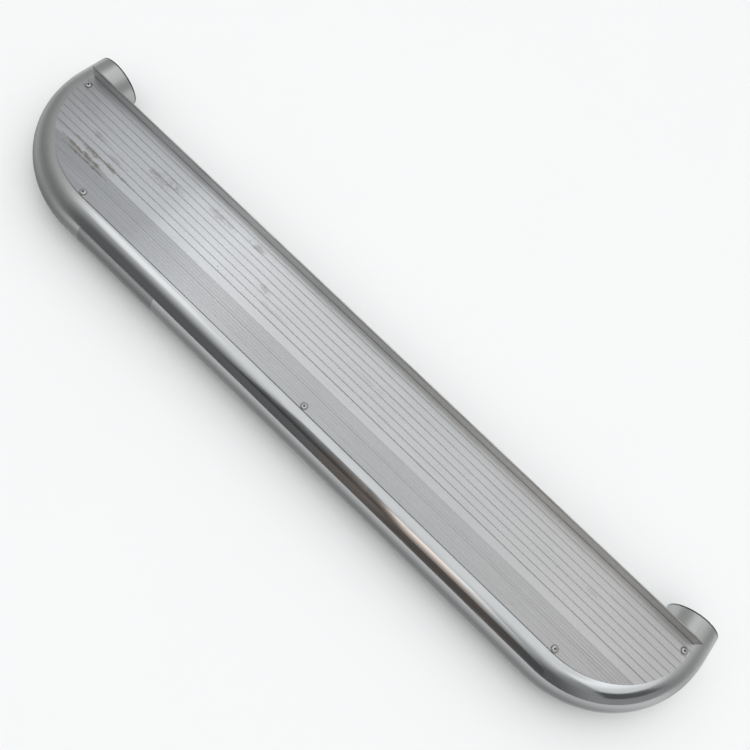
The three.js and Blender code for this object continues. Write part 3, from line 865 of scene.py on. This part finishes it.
def hexBlock(name, depth, chamferTop):
    # the corners are turned off at a slant, as on a pressed head
    corner = bolt["acrossFlats"] / math.sqrt(3)
    outside = corner + bolt["slack"]
    flat = bolt["acrossFlats"] / 2 - bolt["slack"]
    drop = (corner - flat) * math.tan(math.radians(bolt["chamfer"])) + bolt["slack"] / 2
    outline = [(flat, 0.0), (outside, drop)]
    if chamferTop:
        outline += [(outside, depth - drop), (flat, depth)]
    else:
        outline += [(outside, depth)]
    cone = turned(name + "_cone", outline, 72)
    block = post(corner, depth, (0, 0, depth / 2), sides=6)
    block.name = name
    block.data.name = name
    place(block, block.location.copy(), (0, 0, math.radians(30)))
    modify(block, "BOOLEAN", operation="INTERSECT", object=cone, solver="EXACT")
    bpy.data.objects.remove(cone)
    return block


def makeFasteners():
    low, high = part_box("bolt_left_front")
    length = high.z - low.z
    head = hexBlock("bolt_model", bolt["headDepth"], False)
    smooth = length - bolt["threads"] * bolt["pitch"] - 0.0006
    outline = [(bolt["radius"], bolt["headDepth"] - 0.001), (bolt["radius"], smooth)]
    for step in range(bolt["threads"]):
        base = smooth + step * bolt["pitch"]
        outline += [(bolt["root"], base + 0.3 * bolt["pitch"]),
                    (bolt["radius"], base + 0.9 * bolt["pitch"])]
    outline += [(bolt["root"] - 0.0002, length)]
    shank = turned("shank_model", outline, bolt["sides"])
    modify(head, "BOOLEAN", operation="UNION", object=shank, solver="EXACT")
    bpy.data.objects.remove(shank)
    smoothByAngle(head, 25)
    nut = hexBlock("nut_model", bolt["nutDepth"], True)
    subtract(nut, post(bolt["nutBore"], channel["cutter"], (0, 0, bolt["nutDepth"] / 2),
                       sides=bolt["sides"]))
    roundEdges(nut, bolt["edge"], 2)
    washer = turned("washer_model", bolt["washer"], bolt["sides"], closed=True)
    smoothByAngle(washer, 40)
    models = {"bolt": head, "nut": nut, "washer": washer}
    for where in channelPlaces:
        for end in boltPlaces:
            for kind, model in models.items():
                node = kind + "_" + where + "_" + end
                low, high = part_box(node)
                piece = copyOf(model, node + "_visual")
                place(piece, ((low.x + high.x) / 2, (low.y + high.y) / 2, low.z))
                hand(piece, zinc, "zinc_steel", node)
    for model in models.values():
        bpy.data.objects.remove(model)


makeFasteners()
print("fasteners set")


# floor, light and camera

studio = {
    "floor": (0.86, 0.86, 0.86, 1),
    "floorSize": 14,
    "softbox": (16, 16),
    "softboxHeight": 5,
    "softboxPower": 500,
    "backdrop": 0.86,
}


def makeFloor():
    clearSelection()
    bpy.ops.mesh.primitive_plane_add(size=studio["floorSize"], location=(0, 0, 0))
    piece = startPiece("studio_floor")
    bpy.ops.object.mode_set(mode="OBJECT")
    material, g = newMaterial("paleFloor")
    x, y, z = g.split(g.add("ShaderNodeTexCoord", None, None, out=3))
    cloud = g.noise(g.vector(x * 3, y * 3, 0), 3.0)
    shade = g.blend(cloud, studio["floor"], [c * 0.985 for c in studio["floor"][:3]] + [1])
    finishMaterial(g, {"Base Color": shade, "Roughness": 0.8})
    piece.data.materials.append(material)


# patches the chrome mirrors: heading, half width and softness, lowest and highest, softness, change
skyPatches = [
    (-6, 9, 4, 38, 66, 5, -0.68),
    (16, 8, 3, 36, 58, 4, 1.05),
    (14, 9, 3, 10, 32, 4, -0.35),
    (3, 3.5, 1.5, 24, 50, 3, 0.2),
    (-75, 18, 10, 58, 70, 4, 0.30),
    (80, 13, 5, 26, 40, 4, -0.65),
]


def makeSky():
    world = bpy.data.worlds.new("studioSky")
    bpy.context.scene.world = world
    g = Graph(world)
    x, y, z = g.split(g.add("ShaderNodeTexCoord", None, None, out=0))
    degrees = 180 / math.pi
    height = g.sum("ARCSINE", z) * degrees
    heading = g.sum("ARCTAN2", x, y * -1) * degrees  # 0 towards -Y, + towards +X

    def window(centre, half, soft):
        near = g.sum("ABSOLUTE", heading - centre)
        return near.ramp(half + soft, half)

    def band(low, high, soft):
        return height.ramp(low - soft, low) * height.ramp(high + soft, high)

    front = height.ramp(33, 76, 0.15, 1.0)
    side = height.ramp(50, 64, 0.42, 1.0)
    rear = height.ramp(8, 48, 0.35, 0.95)
    away = g.sum("ABSOLUTE", heading)
    light = front + (side - front) * away.ramp(30, 60)
    light = light + (rear - light) * away.ramp(120, 160)
    wobble = (g.noise(g.vector(x * 6, y * 6, z * 6), 2.0) - 0.5) * 6
    heading = heading + wobble
    height = height + wobble * 0.6
    light = light + window(-138, 12, 16) * band(57, 66, 6) * 0.55
    light = light + window(98, 24, 8) * band(46, 60, 5) * 0.5
    for centre, half, soft, low, high, fade, change in skyPatches:
        light = light * (1 + window(centre, half, soft) * band(low, high, fade) * change)
    warm = window(7, 10, 3) * band(4, 58, 4)
    shade = g.blend(warm, (0.98, 1.0, 1.01, 1), (1.14, 1.0, 0.90, 1))
    shade = g.blend(1.0, shade, g.grey(light), "MULTIPLY")
    seen = g.add("ShaderNodeLightPath", None, None, out=0)
    plain = [studio["backdrop"]] * 3 + [1]
    shown = g.blend(seen, shade, plain)
    glow = g.add("ShaderNodeBackground", None, {"Color": shown, "Strength": 1.0})
    g.output("ShaderNodeOutputWorld", glow)


def makeSoftbox():
    clearSelection()
    bpy.ops.object.light_add(type="AREA", location=(0, 0, studio["softboxHeight"]))
    lamp = bpy.context.object
    lamp.name = "softbox"
    lamp.data.shape = "RECTANGLE"
    lamp.data.size, lamp.data.size_y = studio["softbox"]
    lamp.data.energy = studio["softboxPower"]
    lamp.visible_glossy = False  # it lights the floor; metal mirrors the sky instead
    lamp.visible_camera = False


makeFloor()
makeSky()
makeSoftbox()
print("studio ready")

camera = {
    "aim": (0.0241, 0.03375, 0.0791),
    "distance": 1.0197,
    "azimuth": 11.91,
    "elevation": 65.97,
    "roll": 32.71,
    "lens": 34.708,
}


def makeCamera():
    turn, rise, roll = (math.radians(camera[key]) for key in ("azimuth", "elevation", "roll"))
    back = Vector((math.sin(turn) * math.cos(rise), -math.cos(turn) * math.cos(rise), math.sin(rise)))
    level = Vector((math.cos(turn), math.sin(turn), 0))
    right = level * math.cos(roll) + back.cross(level) * math.sin(roll)
    up = back.cross(right)
    facing = Matrix((right, up, back)).transposed()
    clearSelection()
    bpy.ops.object.camera_add(location=Vector(camera["aim"]) + back * camera["distance"],
                              rotation=facing.to_euler())
    eye = bpy.context.object
    eye.name = "viewing_camera"
    eye.data.lens = camera["lens"]
    eye.data.sensor_width = 36
    eye.data.clip_start = 0.01
    bpy.context.scene.camera = eye
    bpy.context.scene.view_settings.view_transform = "Standard"


makeCamera()
print("camera ready")
